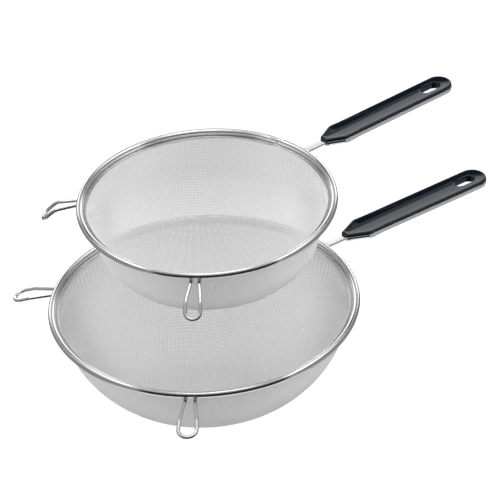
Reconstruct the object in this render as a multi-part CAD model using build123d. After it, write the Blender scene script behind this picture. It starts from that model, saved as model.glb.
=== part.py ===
"""Set of two handled wire-cloth strainers, the small one standing over the large one.

Each strainer is modelled in its own frame, with the rim's centre at the origin, +Z up and the
handle along +X, and is then placed over the large bowl's flat bottom, which is the row's origin.
All lengths are in millimetres and all angles in degrees.
"""
import os
from dataclasses import dataclass
from math import cos, degrees, radians, sin, tan

from build123d import *

# ---- sizes shared by both strainers ----------------------------------------------------------
BEAD_R = 2.6                # outside radius of the rolled rim bead
STRIP_T = 0.5               # thickness of the stainless strip the rim is rolled from
CORE_R = 1.9                # radius of the ring wire inside the bead
LEDGE_W = 3.2               # width of the strip's flat ledge inside the bead
LEDGE_Z = -1.5              # height of the ledge's middle from the bead's centre
LIP_R = 0.55                # radius of the rounded edge of the ledge
SEAM_GAP = 0.25             # opening between the two ends of the rim strip
SEAM_AT = 15.0              # direction of the rim strip's butt seam

CLOTH_T = 0.4               # thickness of the skin that stands for the woven wire cloth
HEM_W = 2.6                 # width of the cloth's hem, turned out under the ledge

LOOP_WIRE_R = 1.35          # radius of the rest loops' wire
LOOP_ROOT_IN = 1.2          # how far inside the bead's centre circle the loop wire starts
LOOP_BEND_R = 9.0           # bend radius between the loop's root and its turned-down end
WELD_R = 1.9                # radius of the weld bead on each loop end

TANG_W = 6.0                # width of the flat bar between the rim and the grip
TANG_T = 2.4                # thickness of that bar
TANG_INSIDE = 46.0          # length of the bar inside the grip
DROOP = 2.3                 # slope of the handle below the rim's plane

TIP_HALF = 3.7              # half width of the grip at its narrow front end
SHOULDER_ROUND = 2.5        # rounding of the shoulders in plan
SHELL_H = 4.2               # height of the stainless trough
SHELL_T = 0.8               # its wall thickness
SHELL_ROUND = 1.8           # rounding along its lower outside edge
INSERT_UP = 2.4             # height of the plastic insert above the trough's edge
INSERT_EDGE = 0.25          # how far the insert's side stands in from the trough's side
INSERT_ROUND = 1.1          # rounding of the insert's top outside edge
DISH_MARGIN = 2.2           # width of the raised border round the insert's dished top
DISH_DEPTH = 1.2            # depth of the dish
SLOT_L = 20.0               # hanging slot, end to end
SLOT_W = 10.4               # hanging slot, width
SLOT_FROM_END = 9.6         # from the slot's far end to the grip's far end
FIT = 0.08                  # clearance between the insert and the metal round it

# ---- how the small strainer stands over the large one ----------------------------------------
RIM_LIFT = 96.0             # small rim's height over the large rim as modelled
SIDE_SHIFT = (6.05, -4.40)  # small rim's shift to one side as modelled
SMALL_TURN = 3.0            # how far the small strainer is turned from the large one


@dataclass(frozen=True)
class Strainer:
    """Sizes in which the two strainers differ."""

    name: str
    rim_r: float            # outside radius of the rim
    depth: float            # depth of the bowl below its hem
    flat_r: float           # radius of the flat spot under the bowl
    wall_slope: float       # slope of the bowl's wall from upright, just under the rim
    corner_r: float         # radius of the curve between the wall and the shallow bottom
    dome_turn: float        # how far the shallow bottom has turned up where that curve starts
    loop_angles: tuple      # directions of the left and right rest loops, as the holder sees them
    root_half: float        # half the distance between a loop's two welded ends
    knee_out: float         # from the rim's outside to the loop's knee
    knee_down: float        # from the rim's centre plane down to the knee
    knee_half: float        # half the distance between the wires at the knee
    end_out: float          # from the knee outwards to the loop's end
    end_down: float         # from the knee down to the loop's end
    end_half: float         # radius of the loop's round end
    neck: float             # length of bar left bare between the rim and the grip
    grip_l: float           # length of the grip
    grip_half: float        # half width of the grip, which is also its far end's radius
    shoulder_x: float       # distance from the grip's front end to its shoulders

    @property
    def bead_circle(self):
        """Radius of the circle on which the bead's centre lies."""
        return self.rim_r - BEAD_R

    @property
    def mouth_r(self):
        """Outside radius of the bowl where it meets the ledge."""
        return self.rim_r - 2 * BEAD_R - LEDGE_W + LIP_R


SMALL = Strainer("small", rim_r=101.0, depth=64.0, flat_r=18.0, wall_slope=15.0, corner_r=46.0,
                 dome_turn=20.0, loop_angles=(224.0, 131.0), root_half=2.8, knee_out=17.7,
                 knee_down=9.0, knee_half=5.6, end_out=10.3, end_down=10.1, end_half=5.9,
                 neck=18.6, grip_l=132.2, grip_half=10.7, shoulder_x=14.4)
LARGE = Strainer("large", rim_r=121.6, depth=77.0, flat_r=24.0, wall_slope=11.0, corner_r=88.0,
                 dome_turn=33.0, loop_angles=(227.2, 126.5), root_half=3.3, knee_out=19.3,
                 knee_down=8.9, knee_half=6.8, end_out=14.0, end_down=5.0, end_half=7.3,
                 neck=18.1, grip_l=142.6, grip_half=11.6, shoulder_x=16.9)


# ---- rim and bowl ----------------------------------------------------------------------------
def bead_ring(sieve, radius):
    """A full ring of round section on the bead's centre circle."""
    return Torus(sieve.bead_circle, radius)


def rim_band(sieve):
    """Stainless strip curled into a bead, with a flat ledge on its inside and a butt seam."""
    centre = Pos(sieve.bead_circle, 0)
    curl = centre * Circle(BEAD_R) - centre * Circle(BEAD_R - STRIP_T)
    ledge_start = sieve.bead_circle - (BEAD_R - STRIP_T / 2)
    ledge_end = sieve.bead_circle - BEAD_R - LEDGE_W + LIP_R
    ledge = Pos((ledge_start + ledge_end) / 2 + 0.4, LEDGE_Z) * Rectangle(
        ledge_start - ledge_end + 0.8, STRIP_T)
    lip = Pos(ledge_end, LEDGE_Z) * Circle(LIP_R)
    bore = centre * Circle(BEAD_R - STRIP_T)
    section = Plane.XZ * (curl + (ledge + lip - bore))
    gap_angle = degrees(SEAM_GAP / sieve.bead_circle)
    ring = revolve(section, Axis.Z, 360 - gap_angle)
    return Rot(0, 0, SEAM_AT + gap_angle / 2) * ring


def bowl_section(sieve, inset):
    """Half section of the space inside the bowl's outline, moved in by inset.

    The outline runs from the flat bottom through a shallow dome arc and a corner arc to a
    straight sloping wall. The dome's radius follows from the other sizes.
    """
    turn, end = radians(sieve.dome_turn), radians(90 - sieve.wall_slope)
    slope = tan(radians(sieve.wall_slope))
    corner = sieve.corner_r
    across = sieve.mouth_r - sieve.flat_r - corner * (sin(end) - sin(turn))
    height = sieve.depth - corner * (cos(turn) - cos(end))
    dome = (across - slope * height) / (sin(turn) - slope * (1 - cos(turn)))
    dome_in, corner_in = dome - inset, corner - inset
    bottom = -sieve.depth + inset
    knee = Vector(sieve.flat_r + dome_in * sin(turn), bottom + dome_in * (1 - cos(turn)))
    wall = Vector(knee.X + corner_in * (sin(end) - sin(turn)),
                  knee.Y + corner_in * (cos(turn) - cos(end)))
    mid_dome = Vector(sieve.flat_r + dome_in * sin(turn / 2),
                      bottom + dome_in * (1 - cos(turn / 2)))
    half = (turn + end) / 2
    mid_corner = Vector(knee.X + corner_in * (sin(half) - sin(turn)),
                        knee.Y + corner_in * (cos(turn) - cos(half)))
    top = Vector(wall.X - wall.Y * slope, 0)
    flat = Vector(sieve.flat_r, bottom)
    outline = [Line((0, 0), (0, bottom)), Line((0, bottom), flat),
               ThreePointArc(flat, mid_dome, knee), ThreePointArc(knee, mid_corner, wall),
               Line(wall, top), Line(top, (0, 0))]
    return make_face(outline)


def mesh_bowl(sieve):
    """Closed skin of the pressed wire cloth, with its hem turned out under the ledge."""
    shell = revolve(Plane.XZ * (bowl_section(sieve, 0) - bowl_section(sieve, CLOTH_T)), Axis.Z)
    hem_r = sieve.mouth_r + HEM_W
    hem = Cylinder(hem_r, CLOTH_T) - Cylinder(sieve.mouth_r - CLOTH_T, CLOTH_T)
    skin = shell + Pos(0, 0, -CLOTH_T / 2) * hem
    lift = LEDGE_Z - max(LIP_R, STRIP_T / 2)
    return Pos(0, 0, lift) * skin


# ---- rest loops ------------------------------------------------------------------------------
def loop_side(sieve):
    """Corner points of one half of a loop's centre line: root, knee and end, on the +Y side."""
    root = Vector(sieve.bead_circle - LOOP_ROOT_IN, sieve.root_half, -BEAD_R - LOOP_WIRE_R)
    knee = Vector(sieve.rim_r + sieve.knee_out, sieve.knee_half, -sieve.knee_down)
    end = Vector(knee.X + sieve.end_out, sieve.end_half, knee.Z - sieve.end_down)
    return root, knee, end


def loop_path(sieve):
    """Centre line of a rest loop: out from the rim, down at the knees and round its end."""
    side = loop_side(sieve)
    other = [Vector(p.X, -p.Y, p.Z) for p in reversed(side)]
    end_round = 0.94 * sieve.end_half
    return FilletPolyline(*side, *other, radius=[LOOP_BEND_R, end_round, end_round, LOOP_BEND_R])


def rest_loop(sieve, angle):
    """One wire loop that hooks over a pot's edge."""
    path = loop_path(sieve)
    profile = Plane(origin=path @ 0, z_dir=path % 0) * Circle(LOOP_WIRE_R)
    wire = sweep(profile, path=path)
    return Rot(0, 0, angle) * wire


def loop_welds(sieve, angle):
    """The two weld beads that hold one loop's ends under the rim."""
    root, knee, _ = loop_side(sieve)
    out = (knee - root).normalized()
    beads = []
    for side in (1, -1):
        spot = root + out * 1.6
        centre = Pos(spot.X, side * (spot.Y + 0.5), spot.Z + 0.75)
        beads.append(centre * Sphere(WELD_R))
    return Rot(0, 0, angle) * (beads[0] + beads[1]) - bead_ring(sieve, BEAD_R) - rest_loop(sieve, angle)


# ---- handle ----------------------------------------------------------------------------------
def grip_outline(sieve, inset=0.0):
    """Plan of the grip: narrow front, shoulders, straight sides and round far end."""
    half, shoulder_x = sieve.grip_half, sieve.shoulder_x
    centre_x = sieve.grip_l - half
    lines = [Line((0, -TIP_HALF), (0, TIP_HALF)), Line((0, TIP_HALF), (shoulder_x, half)),
             Line((shoulder_x, half), (centre_x, half)),
             ThreePointArc((centre_x, half), (sieve.grip_l, 0), (centre_x, -half)),
             Line((centre_x, -half), (shoulder_x, -half)),
             Line((shoulder_x, -half), (0, -TIP_HALF))]
    face = make_face(lines)
    corners = [v for v in face.vertices() if abs(v.X - shoulder_x) < 0.01]
    face = fillet(corners, SHOULDER_ROUND)
    return offset(face, -inset) if inset else face


def slot_plan(sieve, grow=0.0):
    """Plan of the hanging slot, grown all round by grow."""
    centre_x = sieve.grip_l - SLOT_FROM_END - SLOT_L / 2
    return Pos(centre_x, 0) * SlotOverall(SLOT_L + 2 * grow, SLOT_W + 2 * grow)


def place_handle(sieve, shape):
    """Move a piece from the grip's own frame, front end at the origin, to the rim's frame."""
    return Pos(sieve.rim_r + sieve.neck, 0, 0) * Rot(0, DROOP, 0) * shape


def tang_bar(grow=0.0, start=-30.0):
    """The flat bar in the grip's frame, its top level with the trough's edge."""
    length = TANG_INSIDE - start
    bar = Box(length, TANG_W + 2 * grow, TANG_T + 2 * grow)
    bar = Pos(start + length / 2 + grow, 0, -TANG_T / 2) * bar
    long_edges = bar.edges().filter_by(Axis.X)
    return fillet(long_edges, 0.7) if grow == 0 else bar


def handle_tang(sieve):
    """Flat bar welded to the rim's outside and lying in the front of the grip."""
    bar = place_handle(sieve, tang_bar())
    keep_out = Cylinder(sieve.rim_r - 0.7, 60) + bead_ring(sieve, BEAD_R)
    return bar - keep_out


def tang_welds(sieve):
    """Fillets of weld above and below the bar, where it meets the bead."""
    half_turn = degrees((TANG_W / 2 + 0.5) / sieve.rim_r)
    centre = sieve.bead_circle
    above = Pos(centre + BEAD_R * 0.90, BEAD_R * 0.55) * Circle(0.55)
    below = Pos(centre + BEAD_R * 0.93, -BEAD_R * 0.72) * Circle(0.9)
    beads = revolve(Plane.XZ * (above + below), Axis.Z, 2 * half_turn)
    beads = Rot(0, 0, half_turn) * beads
    return Rot(0, 0, -2 * half_turn) * beads - bead_ring(sieve, BEAD_R) - handle_tang(sieve)


def handle_shell(sieve):
    """Stainless trough with a slot in its floor and a notch in front for the bar."""
    body = extrude(grip_outline(sieve), -SHELL_H)
    body = fillet(body.faces().sort_by(Axis.Z)[0].edges(), SHELL_ROUND)
    cavity = extrude(grip_outline(sieve, SHELL_T), -(SHELL_H - SHELL_T))
    cavity = fillet(cavity.faces().sort_by(Axis.Z)[0].edges(), SHELL_ROUND - SHELL_T)
    slot = extrude(slot_plan(sieve, FIT), -SHELL_H)
    trough = body - cavity - slot - tang_bar(grow=0.01)
    return place_handle(sieve, trough)


def handle_insert(sieve):
    """Plastic insert: plug in the trough, raised border, dished top and slot."""
    plug = extrude(grip_outline(sieve, SHELL_T + FIT), -(SHELL_H - SHELL_T - FIT))
    plug = fillet(plug.faces().sort_by(Axis.Z)[0].edges(), SHELL_ROUND - SHELL_T)
    cap = extrude(grip_outline(sieve, INSERT_EDGE), INSERT_UP)
    cap = fillet(cap.faces().sort_by(Axis.Z)[-1].edges(), INSERT_ROUND)
    dish = extrude(grip_outline(sieve, DISH_MARGIN), INSERT_UP)
    dish = Pos(0, 0, INSERT_UP - DISH_DEPTH) * dish
    sleeve = Pos(0, 0, -SHELL_H) * extrude(slot_plan(sieve, -0.8), SHELL_H)
    through = Pos(0, 0, -SHELL_H - 1) * extrude(slot_plan(sieve, -0.8), SHELL_H + INSERT_UP + 2)
    body = plug + cap - dish + sleeve - through
    body = body - tang_bar(grow=FIT)
    return place_handle(sieve, body)


# ---- assembly --------------------------------------------------------------------------------
def strainer_parts(sieve):
    """All pieces of one strainer, by node name, in its own frame."""
    left, right = sieve.loop_angles
    pieces = {
        "rim_band": rim_band(sieve),
        "rim_core_wire": bead_ring(sieve, CORE_R),
        "mesh_bowl": mesh_bowl(sieve),
        "rest_loop_left": rest_loop(sieve, left),
        "rest_loop_right": rest_loop(sieve, right),
        "loop_welds_left": loop_welds(sieve, left),
        "loop_welds_right": loop_welds(sieve, right),
        "handle_tang": handle_tang(sieve),
        "tang_welds": tang_welds(sieve),
        "handle_shell": handle_shell(sieve),
        "handle_insert": handle_insert(sieve),
    }
    return {f"{sieve.name}_{part}": shape for part, shape in pieces.items()}


def main():
    """Build both strainers, place them and write one STEP file per node."""
    os.makedirs("parts", exist_ok=True)
    rim_height = LARGE.depth - LEDGE_Z + LIP_R
    places = {LARGE.name: Pos(0, 0, rim_height),
              SMALL.name: Pos(*SIDE_SHIFT, rim_height + RIM_LIFT) * Rot(0, 0, SMALL_TURN)}
    for sieve in (LARGE, SMALL):
        for node, shape in strainer_parts(sieve).items():
            export_step(places[sieve.name] * shape, f"parts/{node}.step")
    print("large rim height", round(rim_height, 3))


if __name__ == "__main__":
    main()
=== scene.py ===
"""Looks of the double strainer set: two handled wire-cloth strainers, the small over the large.

Everything is worked out in millimetres in each strainer's own frame (rim centre at the origin, +X
along the handle, +Z up) and turned into metres in the shared frame when a mesh is made.
"""

import logging
from dataclasses import dataclass, field
from enum import Enum

import bmesh
import bpy
import numpy as np
from mathutils import Matrix, Vector
from numpy.typing import NDArray

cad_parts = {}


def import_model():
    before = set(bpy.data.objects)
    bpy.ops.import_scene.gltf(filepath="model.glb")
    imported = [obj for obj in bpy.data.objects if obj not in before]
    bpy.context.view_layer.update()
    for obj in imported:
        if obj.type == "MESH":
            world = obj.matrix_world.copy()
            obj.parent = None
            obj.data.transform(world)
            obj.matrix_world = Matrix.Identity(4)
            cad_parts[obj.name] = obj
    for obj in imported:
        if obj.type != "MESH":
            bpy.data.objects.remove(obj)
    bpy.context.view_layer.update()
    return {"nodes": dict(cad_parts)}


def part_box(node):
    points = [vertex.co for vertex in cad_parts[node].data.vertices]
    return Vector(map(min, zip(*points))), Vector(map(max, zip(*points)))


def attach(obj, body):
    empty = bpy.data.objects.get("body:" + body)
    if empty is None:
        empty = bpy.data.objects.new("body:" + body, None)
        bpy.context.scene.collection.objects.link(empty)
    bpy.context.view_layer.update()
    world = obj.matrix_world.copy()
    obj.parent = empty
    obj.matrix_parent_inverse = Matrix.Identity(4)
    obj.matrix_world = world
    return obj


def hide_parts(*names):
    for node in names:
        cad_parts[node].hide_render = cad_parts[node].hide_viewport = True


Array = NDArray[np.float64]
Faces = NDArray[np.int64]

LOG = logging.getLogger("strainers")
MM = 0.001                      # metres in a millimetre
SEED = 20                       # seed of every random draw
BEAD_R = 2.6                    # outer radius of the rolled rim's bead, in mm
SKIN_ROOM = 1.0                 # how much shallower the cloth lies than the plain bowl, in mm
HEM_ROOM = 0.4                  # how far the cloth's hem lies under the plain bowl's top, in mm


# ---- mesh helpers ----------------------------------------------------------------------------
def grid_faces(rows: int, columns: int, wrap_rows: bool, wrap_columns: bool) -> Faces:
    """Quads of a grid of points stored row by row.

    Args:
        rows: number of rows of points.
        columns: number of points in a row.
        wrap_rows: whether the last row joins the first.
        wrap_columns: whether the last point of a row joins its first.

    Returns:
        One line of four point numbers for each quad.
    """
    row = np.arange(rows if wrap_rows else rows - 1)[:, None]
    column = np.arange(columns if wrap_columns else columns - 1)[None, :]
    next_row, next_column = (row + 1) % rows, (column + 1) % columns
    corners = (row * columns + column, row * columns + next_column,
               next_row * columns + next_column, next_row * columns + column)
    return np.stack(corners, axis=-1).reshape(-1, 4)


def unit(vectors: Array) -> Array:
    """Vectors divided by their own lengths, along the last axis."""
    return vectors / np.linalg.norm(vectors, axis=-1, keepdims=True)


def turned(points: Array, degrees: float) -> Array:
    """Points turned about +Z, as on a turntable.

    Args:
        points: points, with x, y and z along the last axis.
        degrees: the turn, counter-clockwise from above.

    Returns:
        The turned points.
    """
    angle = np.radians(degrees)
    x = points[..., 0] * np.cos(angle) - points[..., 1] * np.sin(angle)
    y = points[..., 0] * np.sin(angle) + points[..., 1] * np.cos(angle)
    return np.stack((x, y, points[..., 2]), axis=-1)


def smooth_step(value: Array) -> Array:
    """The cubic 3t^2 - 2t^3 of a value held between 0 and 1."""
    held = np.clip(value, 0.0, 1.0)
    return held * held * (3.0 - 2.0 * held)


def bent_path(corners: Array, radii: list[float], steps: int = 9) -> Array:
    """Line through corner points with each inner corner rounded to an arc.

    Each arc touches both of its runs. Its points are the arc's centre plus the radius times the
    slerp between the two outward normals.

    Args:
        corners: the corner points, one line each.
        radii: bend radius at each inner corner.
        steps: points on each arc.

    Returns:
        The points of the rounded line.
    """
    pieces = [corners[:1]]
    for before, corner, after, radius in zip(corners, corners[1:], corners[2:], radii):
        back, forth = unit(before - corner), unit(after - corner)
        half = np.arccos(np.clip(back @ forth, -1, 1)) / 2
        centre = corner + unit(back + forth) * radius / np.sin(half)
        first = unit(corner + back * radius / np.tan(half) - centre)
        last = unit(corner + forth * radius / np.tan(half) - centre)
        sweep = np.arccos(np.clip(first @ last, -1, 1))
        share = np.linspace(0, 1, steps)[:, None]
        blend = np.sin((1 - share) * sweep) * first + np.sin(share * sweep) * last
        pieces.append(centre + radius * blend / np.sin(sweep))
    pieces.append(corners[-1:])
    return np.vstack(pieces)


def carried(path: Array, outline: Array, side: Array) -> tuple[Array, Faces]:
    """A closed outline carried along an open path, with both ends closed.

    Each section stands square to the path: its first axis is side made square to the path, and
    its second axis is the cross product of the path's direction and the first.

    Args:
        path: points of the path.
        outline: the section's points, as (first axis, second axis).
        side: the reference direction for the first axis.

    Returns:
        Points and quads. The two ends close on a point at each section's centre.
    """
    along = unit(np.gradient(path, axis=0))
    first = unit(side - (along @ side)[:, None] * along)
    second = np.cross(along, first)
    rings = (path[:, None] + outline[None, :, :1] * first[:, None]
             + outline[None, :, 1:] * second[:, None])
    centre = outline.mean(axis=0)
    ends = path[[0, -1]] + centre[0] * first[[0, -1]] + centre[1] * second[[0, -1]]
    rings = np.concatenate((np.broadcast_to(ends[:1, None], rings[:1].shape), rings,
                            np.broadcast_to(ends[1:, None], rings[:1].shape)))
    faces = grid_faces(len(rings), len(outline), False, True)
    return rings.reshape(-1, 3), faces


# ---- finishes --------------------------------------------------------------------------------
def shader(name: str) -> tuple[bpy.types.Material, bpy.types.Node]:
    """A new node material.

    Args:
        name: the material's name.

    Returns:
        The material and its principled shader.
    """
    material = bpy.data.materials.new(name)
    material.use_nodes = True
    return material, material.node_tree.nodes["Principled BSDF"]


def noise(material: bpy.types.Material, scale: float, detail: float,
          stretch: tuple[float, float, float] = (1.0, 1.0, 1.0)) -> bpy.types.NodeSocket:
    """Noise over Object coordinates.

    Args:
        material: the material to add the nodes to.
        scale: the noise's scale, in cycles for each metre.
        detail: octaves of finer noise.
        stretch: scale along each axis.

    Returns:
        The noise's value.
    """
    nodes, links = material.node_tree.nodes, material.node_tree.links
    where = nodes.new("ShaderNodeTexCoord")
    mapping = nodes.new("ShaderNodeMapping")
    mapping.inputs["Scale"].default_value = stretch
    texture = nodes.new("ShaderNodeTexNoise")
    texture.inputs["Scale"].default_value = scale
    texture.inputs["Detail"].default_value = detail
    links.new(where.outputs["Object"], mapping.inputs["Vector"])
    links.new(mapping.outputs["Vector"], texture.inputs["Vector"])
    return texture.outputs["Fac"]


def spread(material: bpy.types.Material, value: bpy.types.NodeSocket, low: float,
           high: float) -> bpy.types.NodeSocket:
    """Noise spread over a range, with its rare extremes cut off.

    Args:
        material: the material to add the node to.
        value: the noise, which stays near 0.5.
        low: what 0.3 and less become.
        high: what 0.7 and more become.

    Returns:
        The spread value.
    """
    node = material.node_tree.nodes.new("ShaderNodeMapRange")
    node.inputs["From Min"].default_value = 0.3
    node.inputs["From Max"].default_value = 0.7
    node.inputs["To Min"].default_value = low
    node.inputs["To Max"].default_value = high
    material.node_tree.links.new(value, node.inputs["Value"])
    return node.outputs["Result"]


def bump(material: bpy.types.Material, bsdf: bpy.types.Node, height: bpy.types.NodeSocket,
         depth: float, strength: float) -> None:
    """Join a height to the shader's normal.

    Args:
        material: the material to add the node to.
        bsdf: its shader.
        height: the height, from 0 to 1.
        depth: the full depth in millimetres.
        strength: how strongly the bump shows, from 0 to 1.
    """
    node = material.node_tree.nodes.new("ShaderNodeBump")
    node.inputs["Strength"].default_value = strength
    node.inputs["Distance"].default_value = depth * MM
    material.node_tree.links.new(height, node.inputs["Height"])
    material.node_tree.links.new(node.outputs["Normal"], bsdf.inputs["Normal"])


@dataclass(frozen=True)
class Metal:
    """Bare steel: a colour, a range of roughness and fine scratches."""

    name: str
    colour: tuple[float, float, float]
    smoothest: float
    roughest: float
    grain_scale: float
    grain_depth: float
    stretch: tuple[float, float, float] = (1.0, 1.0, 1.0)
    metallic: float = 1.0

    def material(self) -> bpy.types.Material:
        """Build the metal's node material.

        Returns:
            The material.
        """
        material, bsdf = shader(self.name)
        bsdf.inputs["Base Color"].default_value = (*self.colour, 1.0)
        bsdf.inputs["Metallic"].default_value = self.metallic
        smears = noise(material, self.grain_scale * 0.06, 3.0)
        rough = spread(material, smears, self.smoothest, self.roughest)
        material.node_tree.links.new(rough, bsdf.inputs["Roughness"])
        if self.grain_depth:
            grain = noise(material, self.grain_scale, 4.0, self.stretch)
            bump(material, bsdf, grain, self.grain_depth, 0.35)
        return material


@dataclass(frozen=True)
class Moulding:
    """Glossy moulded plastic with a faint swirl in its colour and an orange-peel skin."""

    name: str
    colour: tuple[float, float, float]
    streak: tuple[float, float, float]
    roughness: float

    def material(self) -> bpy.types.Material:
        """Build the plastic's node material.

        Returns:
            The material.
        """
        material, bsdf = shader(self.name)
        links = material.node_tree.links
        swirl = noise(material, 38.0, 2.0, (0.4, 1.0, 1.0))
        mix = material.node_tree.nodes.new("ShaderNodeMix")
        mix.data_type = "RGBA"
        mix.inputs["A"].default_value = (*self.colour, 1.0)
        mix.inputs["B"].default_value = (*self.streak, 1.0)
        links.new(swirl, mix.inputs["Factor"])
        links.new(mix.outputs["Result"], bsdf.inputs["Base Color"])
        handling = noise(material, 120.0, 4.0)
        rough = spread(material, handling, self.roughness, self.roughness * 1.9)
        links.new(rough, bsdf.inputs["Roughness"])
        bsdf.inputs["IOR"].default_value = 1.5
        bsdf.inputs["Specular Tint"].default_value = (0.80, 0.93, 1.0, 1.0)
        bump(material, bsdf, noise(material, 900.0, 2.0), 0.02, 0.12)
        return material


class Finish(Enum):
    """The finishes of the set, by the record's material slot."""

    RIM = "rim_steel"
    CORE = "core_wire"
    CLOTH = "wire_cloth"
    LOOP = "loop_wire"
    WELD = "weld"
    HANDLE = "handle_steel"
    GRIP = "grip_plastic"


FINISHES: dict[Finish, Metal | Moulding] = {
    Finish.RIM: Metal("polished_rim_strip", (0.80, 0.80, 0.81), 0.12, 0.20, 700.0, 0.004),
    Finish.CORE: Metal("plain_core_wire", (0.55, 0.55, 0.56), 0.35, 0.5, 900.0, 0.01),
    Finish.CLOTH: Metal("bright_cloth_wire", (0.62, 0.62, 0.62), 0.60, 0.72, 300.0, 0.0,
                        metallic=0.3),
    Finish.LOOP: Metal("polished_loop_wire", (0.80, 0.80, 0.81), 0.10, 0.18, 800.0, 0.004),
    Finish.WELD: Metal("cleaned_weld", (0.68, 0.67, 0.66), 0.2, 0.38, 1500.0, 0.04),
    Finish.HANDLE: Metal("polished_handle_steel", (0.82, 0.82, 0.83), 0.08, 0.16, 500.0, 0.004,
                         (0.15, 1.0, 1.0)),
    Finish.GRIP: Moulding("navy_moulding", (0.0014, 0.0028, 0.0052), (0.0022, 0.0040, 0.0072),
                          0.016),
}


# ---- placing pieces ---------------------------------------------------------------------------
@dataclass(frozen=True)
class Place:
    """Where one strainer stands and how it is turned, its body and the materials it is made of."""

    name: str
    centre: Array
    turn: float
    body: str
    dressed: dict[Finish, bpy.types.Material]

    def piece(self, part: str, points: Array, faces: Faces, material: bpy.types.Material,
              smooth_angle: float = 40.0) -> bpy.types.Object:
        """Make one mesh piece from points in millimetres and let it ride on its body.

        Args:
            part: the piece's name without the strainer's name.
            points: points in the strainer's own frame.
            faces: quads or triangles as point numbers.
            material: its finish.
            smooth_angle: edges sharper than this many degrees stay sharp.

        Returns:
            The new object.
        """
        mesh = bpy.data.meshes.new(f"{self.name}_{part}")
        placed = (turned(points, self.turn) + self.centre) * MM
        mesh.from_pydata(placed.tolist(), [], faces.tolist())
        mesh.materials.append(material)
        weld_and_clean(mesh)
        mesh.polygons.foreach_set("use_smooth", np.ones(len(mesh.polygons), dtype=bool))
        mesh.set_sharp_from_angle(angle=np.radians(smooth_angle))
        mesh.update()
        thing = bpy.data.objects.new(f"{self.name}_{part}", mesh)
        bpy.context.collection.objects.link(thing)
        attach(thing, self.body)
        LOG.info("%s: %d faces", thing.name, len(mesh.polygons))
        return thing


def weld_and_clean(mesh: bpy.types.Mesh) -> None:
    """Merge points that lie together, drop faces with no area and turn all faces outwards.

    Args:
        mesh: the mesh to clean, in metres.
    """
    work = bmesh.new()
    work.from_mesh(mesh)
    bmesh.ops.remove_doubles(work, verts=work.verts, dist=1e-6)
    bmesh.ops.dissolve_degenerate(work, edges=work.edges, dist=1e-7)
    bmesh.ops.recalc_face_normals(work, faces=work.faces)
    work.to_mesh(mesh)
    work.free()


# ---- sizes -----------------------------------------------------------------------------------
@dataclass(frozen=True)
class Sizes:
    """Sizes in which the two strainers differ, in millimetres and degrees."""

    name: str
    flat_r: float
    wall_slope: float
    corner_r: float
    dome_turn: float
    loop_angles: tuple[float, float]
    root_half: float
    knee_out: float
    knee_down: float
    knee_half: float
    end_out: float
    end_down: float
    end_half: float
    cloth_pitch: float
    neck: float
    grip_l: float
    grip_half: float
    shoulder_x: float
    turn: float


SMALL = Sizes("small", flat_r=18.0, wall_slope=15.0, corner_r=46.0, dome_turn=20.0,
              loop_angles=(224.0, 131.0), root_half=2.8, knee_out=17.7, knee_down=9.0,
              knee_half=5.6, end_out=10.3, end_down=10.1, end_half=5.9, cloth_pitch=1.25,
              neck=18.6, grip_l=132.2, grip_half=10.7, shoulder_x=14.4, turn=3.0)
LARGE = Sizes("large", flat_r=24.0, wall_slope=11.0, corner_r=88.0, dome_turn=33.0,
              loop_angles=(227.2, 126.5), root_half=3.3, knee_out=19.3, knee_down=8.9,
              knee_half=6.8, end_out=14.0, end_down=5.0, end_half=7.3, cloth_pitch=1.3,
              neck=18.1, grip_l=142.6, grip_half=11.6, shoulder_x=16.9, turn=0.0)


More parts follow.
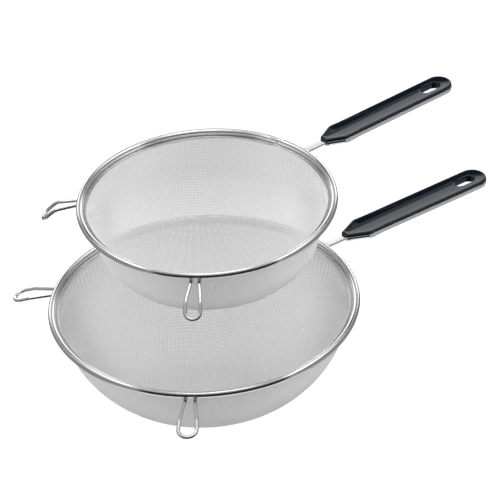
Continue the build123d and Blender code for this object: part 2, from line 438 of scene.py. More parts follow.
# ---- bowl of woven wire ----------------------------------------------------------------------
@dataclass
class ClothBowl:
    """Bowl pressed from a round blank of plain-woven wire cloth."""

    sizes: Sizes
    place: Place
    mouth_r: float
    depth: float
    top: float
    hem: float = 2.4
    wire_half_w: float = 0.41
    wire_half_h: float = 0.28
    crimp: float = 0.19
    blank_turn: float = -36.0
    hem_bend: float = 1.0
    ripples: int = 150
    ripple_h: float = 0.5
    tiny: float = 0.02

    def meridian(self) -> tuple[Array, Array, Array]:
        """Outline of the bowl from the middle of its bottom to the edge of its hem.

        A flat spot, a shallow dome arc, a corner arc, a straight wall, a short arc and the
        turned-out hem follow each other with no kink.

        Returns:
            Distance along the outline, radius and height at each sample.
        """
        size = self.sizes
        turn, end = np.radians(size.dome_turn), np.radians(90.0 - size.wall_slope)
        slope, corner = np.tan(np.radians(size.wall_slope)), size.corner_r
        across = self.mouth_r - size.flat_r - corner * (np.sin(end) - np.sin(turn))
        height = self.depth - corner * (np.cos(turn) - np.cos(end))
        dome = (across - slope * height) / (np.sin(turn) - slope * (1 - np.cos(turn)))
        low, high = np.linspace(0, turn, 200), np.linspace(turn, end, 400)
        dome_r, dome_z = size.flat_r + dome * np.sin(low), dome * (1 - np.cos(low))
        corner_r = dome_r[-1] + corner * (np.sin(high) - np.sin(turn))
        corner_z = dome_z[-1] + corner * (np.cos(turn) - np.cos(high))
        wall_top = self.depth - self.hem_bend * (1 - np.cos(end))
        wall_z = np.linspace(corner_z[-1], wall_top, 100)
        wall_r = corner_r[-1] + (wall_z - corner_z[-1]) * slope
        bend = np.linspace(end, 0, 12)
        bend_r = wall_r[-1] + self.hem_bend * (np.sin(end) - np.sin(bend))
        bend_z = wall_z[-1] + self.hem_bend * (np.cos(bend) - np.cos(end))
        hem_r = np.array([bend_r[-1], bend_r[-1] + self.hem])
        hem_z = np.full(2, bend_z[-1])
        radius = np.concatenate(([0.0], dome_r, corner_r[1:], wall_r[1:], bend_r[1:], hem_r[1:]))
        height = np.concatenate(([0.0], dome_z, corner_z[1:], wall_z[1:], bend_z[1:], hem_z[1:]))
        length = np.concatenate(([0.0], np.cumsum(np.hypot(np.diff(radius), np.diff(height)))))
        return length, radius, height - self.depth + self.top

    def surface(self, u: Array, v: Array) -> Array:
        """Points of the bowl's middle surface for places (u, v) on the flat blank.

        A point of the blank keeps its direction, and its distance from the middle becomes the
        distance along the bowl's outline. Slight ripples stand near the hem, where the blank's
        edge is crowded together: a sine of the direction, uneven round the bowl, that fades
        out down the wall and at the hem.

        Args:
            u: places along the blank's first axis.
            v: places along the blank's second axis.

        Returns:
            The points, along the last axis.
        """
        length, radius, height = self.meridian()
        out = np.hypot(u, v)
        angle = np.arctan2(v, u)
        r, z = np.interp(out, length, radius), np.interp(out, length, height)
        near_hem = smooth_step((out - length[-1] + 24.0) / 16.0)
        near_hem = near_hem * smooth_step((length[-1] - self.hem - 1.5 - out) / 5.0)
        wave = np.sin(self.ripples * angle + 2.0 * np.sin(3 * angle))
        ripple = wave * (0.6 + 0.4 * np.cos(2 * angle))
        r = r + self.ripple_h * near_hem * ripple
        return np.stack((r * np.cos(angle), r * np.sin(angle), z), axis=-1)

    def wires(self, across: bool, far_half: bool) -> tuple[Array, Faces]:
        """Half of the wires of one direction.

        Wire number i lies i and a half pitches from the blank's middle and passes crossing j
        at j and a half pitches. It stands the crimp's height in from the middle surface where
        i + j is even and as far out where it is odd, and the wires of the other direction do
        the opposite. Each is a three-sided tube with one section at each crossing.

        Args:
            across: whether these are the wires that run across the others.
            far_half: whether these are the wires on the high side of the blank's middle.

        Returns:
            Points and faces of the tubes.
        """
        pitch, edge = self.sizes.cloth_pitch, self.meridian()[0][-1]
        count = int(edge / pitch)
        step = np.arange(-count, count + 1)
        i, j = np.meshgrid(step, step, indexing="ij")
        fixed, running = (i + 0.5) * pitch, j * pitch + 0.5 * pitch
        u, v = (running, fixed) if across else (fixed, running)
        here = self.surface(u, v)
        by_u = (self.surface(u + self.tiny, v) - here) / self.tiny
        by_v = (self.surface(u, v + self.tiny) - here) / self.tiny
        inward = unit(np.cross(by_u, by_v))
        along = unit(by_u if across else by_v)
        beside = np.cross(inward, along)
        sign = np.where((i + j) % 2 == 0, 1.0, -1.0) * (-1.0 if across else 1.0)
        middle = here + inward * (sign * self.crimp)[..., None]
        corner = np.radians(90 + 120 * np.arange(3)) + (0 if across else np.pi)
        ring = (beside[..., None, :] * (self.wire_half_w * np.cos(corner))[:, None]
                + inward[..., None, :] * (self.wire_half_h * np.sin(corner))[:, None])
        points = middle[..., None, :] + ring
        inside = (np.hypot(u, v) <= edge) & ((i >= 0) == far_half)
        number = np.arange(points[..., 0].size).reshape(points.shape[:-1])
        joined = inside[:, :-1] & inside[:, 1:]
        start, stop = number[:, :-1][joined], number[:, 1:][joined]
        sides = np.stack((start, np.roll(start, -1, 1), np.roll(stop, -1, 1), stop), axis=-1)
        before = np.pad(inside[:, :-1], ((0, 0), (1, 0)))
        after = np.pad(inside[:, 1:], ((0, 0), (0, 1)))
        caps = np.concatenate((number[inside & ~before & after][:, ::-1],
                               number[inside & before & ~after]))
        sides = sides.reshape(-1, 4)
        corners = np.concatenate((sides[:, :3], sides[:, [0, 2, 3]], caps))
        used, faces = np.unique(corners, return_inverse=True)
        placed = turned(points.reshape(-1, 3)[used], self.blank_turn - self.place.turn)
        return placed, faces.reshape(-1, 3)

    def build(self) -> None:
        """Make both sets of wires, each in two halves, in place of the plain bowl."""
        material = self.place.dressed[Finish.CLOTH]
        for across, way in ((False, "lengthwise"), (True, "crosswise")):
            for far_half, half in ((False, "near"), (True, "far")):
                points, faces = self.wires(across, far_half)
                piece = self.place.piece(f"cloth_wires_{way}_{half}", points, faces, material,
                                         smooth_angle=180.0)
                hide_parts(f"{self.place.name}_mesh_bowl")


# ---- rolled rim ------------------------------------------------------------------------------
@dataclass
class RolledRim:
    """Stainless strip curled round a ring wire, with a flat ledge inside and a butt seam."""

    place: Place
    bead_circle: float
    bead_r: float = BEAD_R
    strip: float = 0.5
    ledge_z: float = -1.5
    ledge_w: float = 3.2
    lip_r: float = 0.55
    seam_at: float = 15.0
    seam_gap: float = 0.7
    pinch: float = 0.18
    turns: int = 420

    def section(self) -> Array:
        """Closed outline of the rolled strip, as radius from the bead's centre and height.

        The strip's middle line runs along the ledge, turns down on a short arc and goes once
        round the bead until its end rests on the ledge. The outline lies half the thickness
        to each side, and swells to a round lip at the ledge's edge.

        Returns:
            The outline's points.
        """
        middle = self.bead_r - self.strip / 2
        join = np.pi + np.arcsin(-self.ledge_z / middle)
        stop = 2 * np.pi + np.pi + np.radians(24.0)
        start = np.array([-self.bead_r - self.ledge_w, self.ledge_z])
        meet = middle * np.array([np.cos(join), np.sin(join)])
        ledge = start + (meet - start) * np.linspace(0, 0.93, 22)[:, None]
        round_about = np.linspace(join + 0.12, stop, 84)
        curl = middle * np.stack((np.cos(round_about), np.sin(round_about)), axis=-1)
        line = np.concatenate((ledge, curl))
        along = unit(np.gradient(line, axis=0))
        left = np.stack((-along[:, 1], along[:, 0]), axis=-1)
        run = np.concatenate(([0.0], np.cumsum(np.linalg.norm(np.diff(line, axis=0), axis=1))))
        lip = np.sqrt(np.clip(self.lip_r ** 2 - (run - self.lip_r) ** 2, 0, None))
        half = np.maximum(lip, np.where(run > self.lip_r, self.strip / 2, 0.0))
        left_side, right_side = line + left * half[:, None], line - left * half[:, None]
        return np.concatenate((left_side, right_side[::-1]))

    def build(self) -> None:
        """Turn the section about the rim's axis, pinch it at the seam and close its two ends."""
        section = self.section()
        gap = self.seam_gap / self.bead_circle
        angle = np.radians(self.seam_at) + np.linspace(gap / 2, 2 * np.pi - gap / 2, self.turns)
        from_seam = np.minimum(angle - angle[0], angle[-1] - angle) * self.bead_circle
        shrink = 1.0 - self.pinch * np.exp(-(from_seam / 3.2) ** 2)
        radius = self.bead_circle + section[None, :, 0] * shrink[:, None]
        height = section[None, :, 1] * shrink[:, None]
        rings = np.stack((radius * np.cos(angle)[:, None], radius * np.sin(angle)[:, None],
                          np.broadcast_to(height, radius.shape)), axis=-1)
        faces = grid_faces(len(rings), len(section), False, True)
        half = len(section) // 2
        first = np.arange(half - 1)
        strip = np.stack((first, first + 1, len(section) - 2 - first, len(section) - 1 - first), 1)
        last = (len(rings) - 1) * len(section)
        faces = np.concatenate((faces, strip, strip[:, ::-1] + last))
        piece = self.place.piece("rolled_rim", rings.reshape(-1, 3), faces,
                                 self.place.dressed[Finish.RIM], smooth_angle=50.0)
        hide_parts(f"{self.place.name}_rim_band")


# ---- rest loops and welds --------------------------------------------------------------------
class Side(Enum):
    """The two rest loops, by the side of the handle that they stand on."""

    LEFT = "left"
    RIGHT = "right"


def weld_bead(centre: Array, radii: Array, seed: int) -> tuple[Array, Faces]:
    """A lumpy weld bead.

    The bead is an ellipsoid whose radius rises and falls with low waves of latitude and
    longitude, as metal that has run and set.

    Args:
        centre: middle of the bead.
        radii: its half sizes along X, Y and Z.
        seed: seed of the waves.

    Returns:
        Points and quads.
    """
    draw = np.random.default_rng(seed).uniform(0, 2 * np.pi, 3)
    polar = np.linspace(0, np.pi, 13)[:, None]
    round_about = np.linspace(0, 2 * np.pi, 20, endpoint=False)[None, :]
    wave = 1 + 0.07 * np.sin(polar) * np.sin(3 * round_about + draw[0])
    wave = wave + 0.05 * np.sin(2 * polar + draw[1]) * np.sin(polar) * np.cos(round_about + draw[2])
    ball = np.stack((np.sin(polar) * np.cos(round_about), np.sin(polar) * np.sin(round_about),
                     np.cos(polar) + 0 * round_about), axis=-1) * wave[..., None]
    return (centre + ball * radii).reshape(-1, 3), grid_faces(13, 20, False, True)


@dataclass
class RestLoops:
    """Two bent wire loops welded under the rim, and their welds."""

    sizes: Sizes
    place: Place
    rim_r: float
    bead_circle: float
    bead_r: float = BEAD_R
    wire_r: float = 1.5
    bend_r: float = 11.0

    def corners(self) -> Array:
        """Corner points of a loop's middle line, from one weld round to the other.

        Returns:
            One line for each corner.
        """
        size = self.sizes
        root = (self.bead_circle - 1.2, size.root_half, -self.bead_r - 1.35)
        knee = (self.rim_r + size.knee_out, size.knee_half, -size.knee_down)
        end = (knee[0] + size.end_out, size.end_half, knee[2] - size.end_down)
        half = np.array([root, knee, end])
        return np.concatenate((half, half[::-1] * np.array([1.0, -1.0, 1.0])))

    def build(self) -> None:
        """Make both loops and both pairs of welds."""
        corners = self.corners()
        end_round = 0.94 * self.sizes.end_half
        path = bent_path(corners, [self.bend_r, end_round, end_round, self.bend_r], steps=14)
        turn = np.linspace(0, 2 * np.pi, 20, endpoint=False)
        outline = self.wire_r * np.stack((np.cos(turn), np.sin(turn)), axis=-1)
        points, faces = carried(path, outline, np.array([0.5, 0.0, 0.85]))
        out = unit(corners[1] - corners[0])
        for number, (side, angle) in enumerate(zip(Side, self.sizes.loop_angles)):
            loop = self.place.piece(f"rest_loop_wire_{side.value}", turned(points, angle), faces,
                                    self.place.dressed[Finish.LOOP])
            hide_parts(f"{self.place.name}_rest_loop_{side.value}")
            beads = []
            for sign in (1.0, -1.0):
                spot = corners[0] + out * 1.9
                centre = np.array([spot[0], sign * (spot[1] + 0.55), spot[2] + 0.7])
                beads.append(weld_bead(centre, np.array([1.9, 1.3, 1.25]),
                                       SEED + number + int(sign)))
            lump = np.concatenate([bead[0] for bead in beads])
            lump_faces = np.concatenate((beads[0][1], beads[1][1] + len(beads[0][0])))
            weld = self.place.piece(f"loop_weld_beads_{side.value}", turned(lump, angle),
                                    lump_faces, self.place.dressed[Finish.WELD])
            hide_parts(f"{self.place.name}_loop_welds_{side.value}")


# ---- handle ----------------------------------------------------------------------------------
@dataclass
class Handle:
    """Flat bar, stainless trough and plastic insert, in the grip's own frame.

    The grip's frame has its origin at the middle of the grip's front end on the trough's edge,
    +X along the grip and +Z up, and slopes down from the rim.
    """

    sizes: Sizes
    place: Place
    rim_r: float
    droop: float = 2.3
    tip_half: float = 3.7
    shoulder_round: float = 4.0
    tip_round: float = 1.2
    shell_h: float = 4.2
    shell_t: float = 0.8
    shell_round: float = 1.2
    draft: float = 18.0
    wall_lean: float = 0.6
    cap_h: float = 2.4
    cap_round: float = 1.2
    border: float = 1.7
    dish: float = 0.8
    slot_l: float = 18.4
    slot_w: float = 8.8
    slot_end: float = 10.4
    bar_w: float = 6.0
    bar_t: float = 2.4
    bar_round: float = 0.95
    skin: float = 0.25
    slot_roll: float = 1.1
    dish_from: float = 9.0
    around: int = 360

    def placed(self, points: Array) -> Array:
        """Points of the grip's frame in the strainer's frame.

        Args:
            points: points in the grip's frame.

        Returns:
            The same points, sloped by the droop and moved out past the neck.
        """
        slope = np.radians(self.droop)
        x = points[..., 0] * np.cos(slope) + points[..., 2] * np.sin(slope)
        z = points[..., 2] * np.cos(slope) - points[..., 0] * np.sin(slope)
        return np.stack((x + self.rim_r + self.sizes.neck, points[..., 1], z), axis=-1)

    def outline(self) -> Array:
        """Plan of the grip as evenly spaced points, counter-clockwise.

        A half circle at the far end, straight sides, rounded shoulders and a narrow front.

        Returns:
            One line for each point.
        """
        half, shoulder_x = self.sizes.grip_half, self.sizes.shoulder_x
        centre_x = self.sizes.grip_l - half
        arc = np.linspace(-np.pi / 2, np.pi / 2, 60)
        end = np.stack((centre_x + half * np.cos(arc), half * np.sin(arc)), axis=-1)
        side = np.array([[shoulder_x, half], [0.0, self.tip_half]])
        corners = np.concatenate((end[-1:], side, side[::-1] * (1, -1), end[:1]))
        rounds = [self.shoulder_round, self.tip_round, self.tip_round, self.shoulder_round]
        line = np.concatenate((end[:-1], bent_path(corners, rounds, steps=12)))
        run = np.concatenate(([0.0], np.cumsum(np.linalg.norm(np.diff(line, axis=0), axis=1))))
        even = np.linspace(0, run[-1], self.around, endpoint=False)
        return np.stack((np.interp(even, run, line[:, 0]), np.interp(even, run, line[:, 1])), -1)

    def slot_middle(self) -> Array:
        """Centre of the hanging slot in plan."""
        return np.array([self.sizes.grip_l - self.slot_end - self.slot_l / 2, 0.0])

    def slot_outline(self, outer: Array, grow: float) -> Array:
        """Point of the slot's edge in the same direction from its middle as each outer point.

        The slot is a straight stretch with a half circle at each end. In a direction (cx, cy)
        from the middle, the edge is at half width over |cy|, unless that passes the straight
        stretch, where it is on the half circle.

        Args:
            outer: the outer points.
            grow: how much wider than the slot the edge is, on each side.

        Returns:
            The points of the slot's edge.
        """
        middle, half = self.slot_middle(), self.slot_w / 2 + grow
        straight = self.slot_l / 2 - self.slot_w / 2
        way = unit(outer - middle)
        on_side = half / np.maximum(np.abs(way[:, 1]), 1e-9)
        past = np.abs(on_side * way[:, 0]) > straight
        toward = straight * np.abs(way[:, 0])
        on_end = toward + np.sqrt(np.clip(toward ** 2 - straight ** 2 + half ** 2, 0, None))
        return middle + way * np.where(past, on_end, on_side)[:, None]

    def inset(self, outer: Array, inner: Array, depth: float) -> Array:
        """Points a given distance inside the outline, taken along the rays to the slot.

        Args:
            outer: the outline.
            inner: the slot's edge, with a point for each one of the outline.
            depth: the distance, square to the outline.

        Returns:
            The points, none of them past nine tenths of its ray.
        """
        along = unit(np.roll(outer, -1, 0) - np.roll(outer, 1, 0))
        inward = np.stack((-along[:, 1], along[:, 0]), axis=-1)
        ray = inner - outer
        reach = np.linalg.norm(ray, axis=1)
        facing = np.maximum((unit(ray) * inward).sum(axis=1), 0.02)
        share = np.minimum(depth / facing / reach, 0.9)
        return outer + ray * share[:, None]

    def edge_distance(self, points: Array, outer: Array) -> Array:
        """Shortest distance in plan from each point to the outline's segments.

        Args:
            points: the points.
            outer: the outline.

        Returns:
            One distance for each point.
        """
        start, stop = outer, np.roll(outer, -1, 0)
        run = stop - start
        offset = points[:, None] - start[None]
        share = np.clip((offset * run).sum(-1) / (run * run).sum(-1), 0, 1)
        return np.linalg.norm(offset - share[..., None] * run, axis=-1).min(axis=1)

    def top_height(self, plan: Array, outer: Array, slot_gap: Array) -> Array:
        """Height of the insert's dished top.

        Inside the border the top falls on a parabola of the distance from the edge, as far as
        the middle of the grip, and near the slot it rolls over on a quarter circle.

        Args:
            plan: the points in plan.
            outer: the grip's outline.
            slot_gap: each point's distance from the slot's edge.

        Returns:
            The height of each point.
        """
        depth = self.edge_distance(plan, outer)
        fall = np.clip((depth - self.border) / (self.sizes.grip_half - self.border), 0, 1)
        dished = self.cap_h - self.dish * (1 - (1 - fall) ** 2) * smooth_step(fall / 0.16)
        over = np.clip(1 - slot_gap / self.slot_roll, 0, 1)
        return dished - self.slot_roll * (1 - np.sqrt(1 - over ** 2))

    def build_insert(self) -> None:
        """Plastic insert: side, rounded edge, border, dish, rolled slot edge and slot wall."""
        outer = self.outline()
        inner = self.slot_outline(outer, 0.0)
        middle = self.slot_middle()
        rows = []

        def add(plan: Array, height: Array | float) -> None:
            """Add a row of points at a height, or at one height for each point."""
            rows.append(np.column_stack((plan, np.broadcast_to(height, len(plan)))))

        floor = -self.shell_h + self.shell_t + 0.1
        under = self.inset(outer, inner, self.shell_t + self.wall_lean + 0.1)
        add(inner, floor)
        add(under + (inner - under) * 0.5, floor)
        add(self.inset(outer, inner, self.shell_t + self.wall_lean + 1.1), floor)
        add(under, floor + 1.0)
        add(self.inset(outer, inner, self.shell_t + 0.1), 0.02)
        add(self.inset(outer, inner, self.skin), 0.02)
        bend = np.linspace(0, np.pi / 2, 8)
        for angle in bend:
            deep = self.skin + self.cap_round * (1 - np.cos(angle))
            plan = self.inset(outer, inner, deep)
            add(plan, self.cap_h - self.cap_round * (1 - np.sin(angle)))
        border_rows = np.linspace(self.skin + self.cap_round, self.dish_from, 16)[1:]
        for deep in border_rows:
            plan = self.inset(outer, inner, deep)
            gap = np.linalg.norm(plan - middle, axis=1) - np.linalg.norm(inner - middle, axis=1)
            add(plan, self.top_height(plan, outer, gap))
        near = self.inset(outer, inner, self.dish_from)
        roll = np.concatenate((np.linspace(0.1, 0.8, 10), 1 - np.geomspace(0.15, 0.002, 12), [1.0]))
        for share in roll:
            plan = near + (inner - near) * share
            gap = np.linalg.norm(plan - inner, axis=1)
            add(plan, self.top_height(plan, outer, gap))
        rolled_to = self.cap_h - self.dish - self.slot_roll
        for drop in (0.3, 0.6):
            add(inner, rolled_to + (floor - rolled_to) * drop)
        points = self.placed(np.stack(rows)).reshape(-1, 3)
        faces = grid_faces(len(rows), len(outer), True, True)
        piece = self.place.piece("grip_insert_moulding", points, faces,
                                 self.place.dressed[Finish.GRIP])
        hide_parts(f"{self.place.name}_handle_insert")

    def build_shell(self) -> None:
        """Stainless trough: wall, rounded lower edge, floor and the slot through it."""
        outer = self.outline()
        inner = self.slot_outline(outer, 0.3)
        notch = (np.abs(outer[:, 1]) < self.bar_w / 2 + 0.2) & (outer[:, 0] < 0.6)
        edge = np.where(notch, -self.bar_t - 0.1, 0.0)
        rows = []

        def add(deep: float, height: Array | float) -> None:
            """Add a row a given distance inside the outline."""
            plan = self.inset(outer, inner, deep)
            rows.append(np.column_stack((plan, np.broadcast_to(height, len(plan)))))

        def floor_row(share: float, height: float) -> None:
            """Add a row of the floor.

            Args:
                share: how far the row lies from the floor's edge to the slot, from 0 to 1.
                height: its height.
            """
            near = self.inset(outer, inner, self.wall_lean + self.shell_round)
            plan = near + (inner - near) * share
            rows.append(np.column_stack((plan, np.full(len(plan), height))))

        lip = self.shell_t / 2
        for angle in np.linspace(np.pi, 0, 7):
            add(lip - lip * np.cos(angle), edge - lip + lip * np.sin(angle))
        add(0.0, edge * 0.6 - 1.2)
        for angle in np.linspace(np.radians(self.draft), np.pi / 2, 8):
            add(self.wall_lean + self.shell_round * (1 - np.cos(angle)),
                -self.shell_h + self.shell_round * (1 - np.sin(angle)))
        for share in (0.3, 0.6, 0.9, 1.0):
            floor_row(share, -self.shell_h)
        for share in (1.0, 0.9, 0.5, 0.0):
            floor_row(share, -self.shell_h + self.shell_t)
        add(self.shell_t + self.wall_lean, -self.shell_h + self.shell_round)
        points = self.placed(np.stack(rows)).reshape(-1, 3)
        faces = grid_faces(len(rows), len(outer), True, True)
        piece = self.place.piece("grip_trough", points, faces, self.place.dressed[Finish.HANDLE])
        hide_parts(f"{self.place.name}_handle_shell")

    def build_bar(self) -> None:
        """Flat bar with rounded long edges, and the weld beads at its end on the rim."""
        round_r, beside = self.bar_round, 0.2
        quarter = np.radians(np.linspace(0, 90, 6))
        high, wide = self.bar_t / 2 - round_r, self.bar_w / 2 - round_r
        arc = np.stack((high + round_r * np.cos(quarter), wide + round_r * np.sin(quarter)), -1)
        arc = np.vstack((arc[0] - (0, beside), arc, arc[-1] - (beside, 0)))
        outline = np.vstack((arc, arc[::-1] * (-1, 1), -arc, arc[::-1] * (1, -1)))
        x = np.concatenate((np.linspace(-self.sizes.neck + 0.1, 0, 12), np.linspace(4, 44, 8)))
        path = self.placed(np.stack((x, 0 * x, np.full_like(x, -self.bar_t / 2)), axis=-1))
        points, faces = carried(path, outline, np.array([0.0, 0.0, 1.0]))
        bar = self.place.piece("handle_bar", points, faces, self.place.dressed[Finish.HANDLE])
        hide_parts(f"{self.place.name}_handle_tang")
        under = weld_bead(np.array([self.rim_r - 0.1, 0.0, -1.9]), np.array([1.1, 3.3, 0.9]), SEED)
        over = weld_bead(np.array([self.rim_r - 0.5, 0.0, 1.35]), np.array([0.7, 2.9, 0.5]),
                         SEED + 5)
        weld = self.place.piece("bar_weld_beads", np.concatenate((under[0], over[0])),
                                np.concatenate((under[1], over[1] + len(under[0]))),
                                self.place.dressed[Finish.WELD])
        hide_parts(f"{self.place.name}_tang_welds")

    def build(self) -> None:
        """Make the bar with its welds, the trough and the insert."""
        self.build_bar()
        self.build_shell()
        self.build_insert()


# ---- one strainer ----------------------------------------------------------------------------
@dataclass
class Strainer:
    """One strainer, placed and sized by its own nodes in the frame."""

    sizes: Sizes
    body: str
    dressed: dict[Finish, bpy.types.Material]
    nodes: dict[str, bpy.types.Object]
    place: Place = field(init=False)
    rim_r: float = field(init=False)

    def __post_init__(self) -> None:
        """Read the rim's centre and radius from the frame."""
        low, high = (np.array(corner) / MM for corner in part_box(f"{self.sizes.name}_rim_band"))
        self.place = Place(self.sizes.name, (low + high) / 2, self.sizes.turn, self.body,
                           self.dressed)
        self.rim_r = float((high - low)[0] / 2)

    def build(self) -> None:
        """Make every piece of the strainer and dress the ring wire that stays from CAD."""
        bead_circle = self.rim_r - BEAD_R
        rim = RolledRim(self.place, bead_circle)
        rim.build()
        low, high = (np.array(corner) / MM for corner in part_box(f"{self.sizes.name}_mesh_bowl"))
        top = float(high[2] - self.place.centre[2])
        ClothBowl(self.sizes, self.place, mouth_r=bead_circle - BEAD_R - rim.ledge_w + rim.lip_r,
                  depth=float(high[2] - low[2]) - SKIN_ROOM, top=top - HEM_ROOM).build()
        RestLoops(self.sizes, self.place, self.rim_r, bead_circle).build()
        Handle(self.sizes, self.place, self.rim_r).build()
        core = self.nodes[f"{self.sizes.name}_rim_core_wire"]
        core.data.materials.clear()
        core.data.materials.append(self.dressed[Finish.CORE])


# ---- studio ----------------------------------------------------------------------------------
@dataclass
class Studio:
    """Glowing floor, soft lights, curved cards round the set and the camera."""

    aim: Vector
    azimuth: float = -36.0
    elevation: float = 34.55
    roll: float = 3.52
    distance: float = 5.0
    lens: float = 462.5
    aim_right: float = 38.8 * MM
    aim_up: float = 48.1 * MM

    def axes(self) -> tuple[Vector, Vector, Vector]:
        """The camera's directions before it is rolled.

        Returns:
            Right, up and forward.
        """
        turn, rise = np.radians(self.azimuth), np.radians(self.elevation)
        right = Vector((np.cos(turn), np.sin(turn), 0))
        away = Vector((-np.sin(turn), np.cos(turn), 0))
        forward = away * np.cos(rise) - Vector((0, 0, 1)) * np.sin(rise)
        return right, right.cross(forward), forward

    def camera(self) -> None:
        """Long-lens camera, rolled a little, as far away as a product photographer stands."""
        right, up, forward = self.axes()
        roll = np.radians(self.roll)
        side = right * np.cos(roll) - up * np.sin(roll)
        top = up * np.cos(roll) + right * np.sin(roll)
        spot = self.aim + right * self.aim_right + up * self.aim_up - forward * self.distance
        data = bpy.data.cameras.new("camera")
        data.lens = self.lens
        data.clip_end = 50.0
        thing = bpy.data.objects.new("camera", data)
        turn = Matrix((side, top, -forward)).transposed()
        thing.matrix_world = Matrix.Translation(spot) @ turn.to_4x4()
        bpy.context.collection.objects.link(thing)
        bpy.context.scene.camera = thing

    def soft_box(self, name: str, azimuth: float, elevation: float, distance: float,
                 size: tuple[float, float], power: float, mirrored: bool = True) -> None:
        """A soft box that faces the set.

        Args:
            name: the light's name.
            azimuth: direction from the set, 0 on the camera's side, towards its right.
            elevation: height above the horizon in degrees.
            distance: from the set, in metres.
            size: width and height in metres.
            power: in watts.
            mirrored: whether polished surfaces show it.
        """
        right, _, forward = self.axes()
        near = Vector((-forward.x, -forward.y, 0)).normalized()
        turn, rise = np.radians(azimuth), np.radians(elevation)
        way = (near * np.cos(turn) + right * np.sin(turn)) * np.cos(rise)
        way.z = np.sin(rise)
        data = bpy.data.lights.new(name, "AREA")
        data.shape = "RECTANGLE"
        data.size, data.size_y = size
        data.energy = power
        thing = bpy.data.objects.new(name, data)
        thing.location = self.aim + way * distance
        thing.rotation_euler = way.to_track_quat("Z", "Y").to_euler()
        thing.visible_glossy = mirrored
        bpy.context.collection.objects.link(thing)

    def floor(self) -> None:
        """Pale matt floor that glows like a light table and is left out of reflections."""
        size = 6.0
        mesh = bpy.data.meshes.new("floor")
        corners = [(-size, -size, 0), (size, -size, 0), (size, size, 0), (-size, size, 0)]
        mesh.from_pydata(corners, [], [(0, 1, 2, 3)])
        material, bsdf = shader("pale_floor")
        bsdf.inputs["Base Color"].default_value = (0.12, 0.12, 0.12, 1.0)
        bsdf.inputs["Roughness"].default_value = 0.9
        bsdf.inputs["Emission Color"].default_value = (1.0, 1.0, 1.0, 1.0)
        bsdf.inputs["Emission Strength"].default_value = 0.98
        mesh.materials.append(material)
        thing = bpy.data.objects.new("floor", mesh)
        thing.location.z = -0.0004
        bpy.context.collection.objects.link(thing)
        thing.visible_glossy = False

    def card(self, name: str, azimuth: tuple[float, float], elevation: tuple[float, float],
             distance: float, tone: float = 0.0) -> None:
        """A curved card round the set, seen only in its polished metal and plastic.

        Args:
            name: the card's name.
            azimuth: its two ends, 0 on the camera's side, towards its right.
            elevation: its lower and upper edge.
            distance: its distance from the set, in metres.
            tone: its own glow, 0 for a black card.
        """
        right, _, forward = self.axes()
        near = np.array((-forward.x, -forward.y, 0))
        near, side = near / np.linalg.norm(near), np.array(right)
        columns, rows = 33, 17
        turn = np.radians(np.linspace(*azimuth, columns))[:, None, None]
        rise = np.radians(np.linspace(*elevation, rows))[None, :, None]
        way = (near * np.cos(turn) + side * np.sin(turn)) * np.cos(rise)
        points = np.array(self.aim) + distance * (way + np.array((0, 0, 1.0)) * np.sin(rise))
        mesh = bpy.data.meshes.new(name)
        mesh.from_pydata(points.reshape(-1, 3).tolist(), [],
                         grid_faces(columns, rows, False, False).tolist())
        material, bsdf = shader(name)
        bsdf.inputs["Base Color"].default_value = (0.01, 0.01, 0.011, 1.0)
        bsdf.inputs["Roughness"].default_value = 1.0
        bsdf.inputs["Emission Color"].default_value = (1.0, 1.0, 1.0, 1.0)
        bsdf.inputs["Emission Strength"].default_value = tone
        mesh.materials.append(material)
        thing = bpy.data.objects.new(name, mesh)
        bpy.context.collection.objects.link(thing)
        thing.visible_camera = False
        thing.visible_diffuse = False
        thing.visible_shadow = False
        thing.visible_transmission = False

    def build(self) -> None:
        """Set up the air, the floor, the lights, the cards and the camera."""
        world = bpy.data.worlds.new("studio_air")
        world.use_nodes = True
        air = world.node_tree.nodes["Background"]
        air.inputs["Color"].default_value = (1.0, 1.0, 1.0, 1.0)
        air.inputs["Strength"].default_value = 0.45
        bpy.context.scene.world = world
        bpy.context.scene.view_settings.view_transform = "Standard"
        self.floor()
        self.soft_box("left_box", -110.0, 56.0, 2.4, (2.6, 0.45), 6.5)
        self.soft_box("right_box", 110.0, 56.0, 2.4, (2.6, 0.45), 6.5)
        self.soft_box("over_head", 20.0, 84.0, 2.6, (1.3, 1.3), 7.5)
        self.soft_box("backdrop", 180.0, 16.0, 3.0, (5.0, 1.7), 26.0)
        self.soft_box("back_strip", 180.0, 66.0, 2.6, (2.4, 0.6), 6.0)
        self.soft_box("fill_above", 0.0, 88.0, 2.5, (2.4, 2.4), 42.0, mirrored=False)
        self.soft_box("fill_left", -95.0, 20.0, 2.4, (2.0, 2.0), 84.0, mirrored=False)
        self.soft_box("fill_right", 95.0, 20.0, 2.4, (2.0, 2.0), 86.0, mirrored=False)
        self.soft_box("fill_front", 0.0, 40.0, 2.8, (2.0, 2.0), 20.0, mirrored=False)
        self.card("front_card", (-48.0, 56.0), (-56.0, 30.0), 3.0)
        self.card("high_card", (138.0, 222.0), (36.5, 56.0), 3.2)
        self.card("low_card", (140.0, 220.0), (-56.0, 0.0), 3.2)
        self.card("left_card", (220.0, 308.0), (-56.0, 24.0), 3.2, 0.26)
        self.card("right_card", (60.0, 140.0), (-20.0, 24.0), 3.2, 0.2)
        self.card("under_card", (0.0, 360.0), (-89.0, -57.0), 3.1, 1.0)
        self.camera()


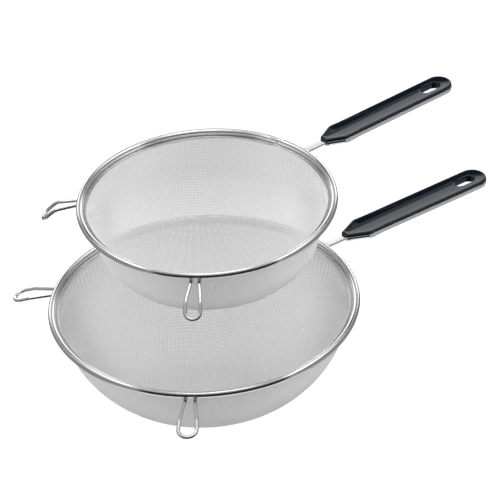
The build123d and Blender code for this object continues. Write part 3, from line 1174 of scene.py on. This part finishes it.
# ---- main ------------------------------------------------------------------------------------
def main(nodes: dict[str, bpy.types.Object]) -> None:
    """Build the finishes, both strainers and the studio.

    Args:
        nodes: the CAD nodes' objects by name.
    """
    dressed = {finish: recipe.material() for finish, recipe in FINISHES.items()}
    for sizes, body in ((LARGE, "large_sieve"), (SMALL, "small_sieve")):
        Strainer(sizes, body, dressed, nodes).build()
    rim_low, rim_high = (Vector(corner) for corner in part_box("large_rim_band"))
    Studio(aim=(rim_low + rim_high) / 2).build()


if __name__ == "__main__":
    logging.basicConfig(level=logging.INFO, format="%(name)s %(message)s")
    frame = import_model()
    main(frame["nodes"])
